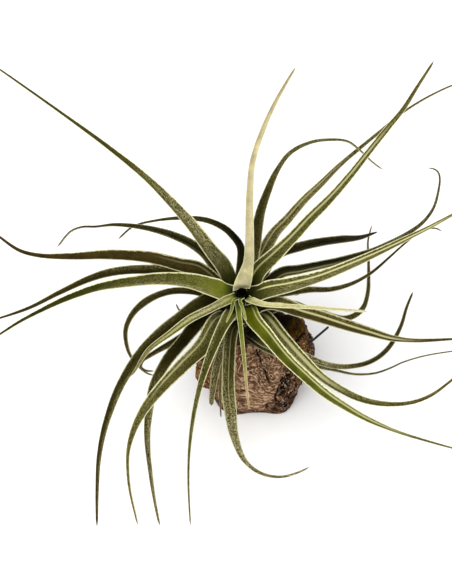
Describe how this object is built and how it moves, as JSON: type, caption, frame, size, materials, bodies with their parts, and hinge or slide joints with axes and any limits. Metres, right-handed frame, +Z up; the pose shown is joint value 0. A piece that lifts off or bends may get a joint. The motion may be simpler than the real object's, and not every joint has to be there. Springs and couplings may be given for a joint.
{
  "type": "air plant on a wood block",
  "caption": "Rosette of long, tapering, channelled, silvery-green leaves on a rough lump of natural wood, with a short end of dark wire at its side.",
  "frame": {"origin": "middle of the wood block's flat underside, where it rests", "axes": "+Z up, +X to the viewer's right, -Y towards the viewer; the wire's end is on the +X side"},
  "size_m": [0.2754, 0.2664, 0.2104],
  "materials": {
    "leaf": "matt, with silvery scales",
    "stem": "matt",
    "wood": "rough, weathered",
    "wire": "dull"
  },
  "bodies": {
    "root": {"leaf_centre_1": "leaf", "leaf_centre_2": "leaf", "leaf_centre_3": "leaf", "leaf_left_1": "leaf", "leaf_left_2": "leaf", "leaf_left_3": "leaf", "leaf_left_4": "leaf", "leaf_left_5": "leaf", "leaf_left_6": "leaf", "leaf_left_7": "leaf", "leaf_front_1": "leaf", "leaf_front_2": "leaf", "leaf_front_3": "leaf", "leaf_front_4": "leaf", "leaf_front_5": "leaf", "leaf_front_6": "leaf", "leaf_front_7": "leaf", "leaf_front_8": "leaf", "leaf_front_9": "leaf", "leaf_right_1": "leaf", "leaf_right_2": "leaf", "leaf_right_3": "leaf", "leaf_right_4": "leaf", "leaf_right_5": "leaf", "leaf_right_6": "leaf", "leaf_right_7": "leaf", "leaf_right_8": "leaf", "leaf_right_9": "leaf", "leaf_right_10": "leaf", "leaf_back_1": "leaf", "leaf_back_2": "leaf", "leaf_back_3": "leaf", "leaf_back_4": "leaf", "leaf_back_5": "leaf", "leaf_back_6": "leaf", "leaf_back_7": "leaf", "leaf_back_8": "leaf", "leaf_back_9": "leaf", "leaf_back_10": "leaf", "stem": "stem", "wood_block": "wood", "wire": "wire"}
  },
  "joints": []
}
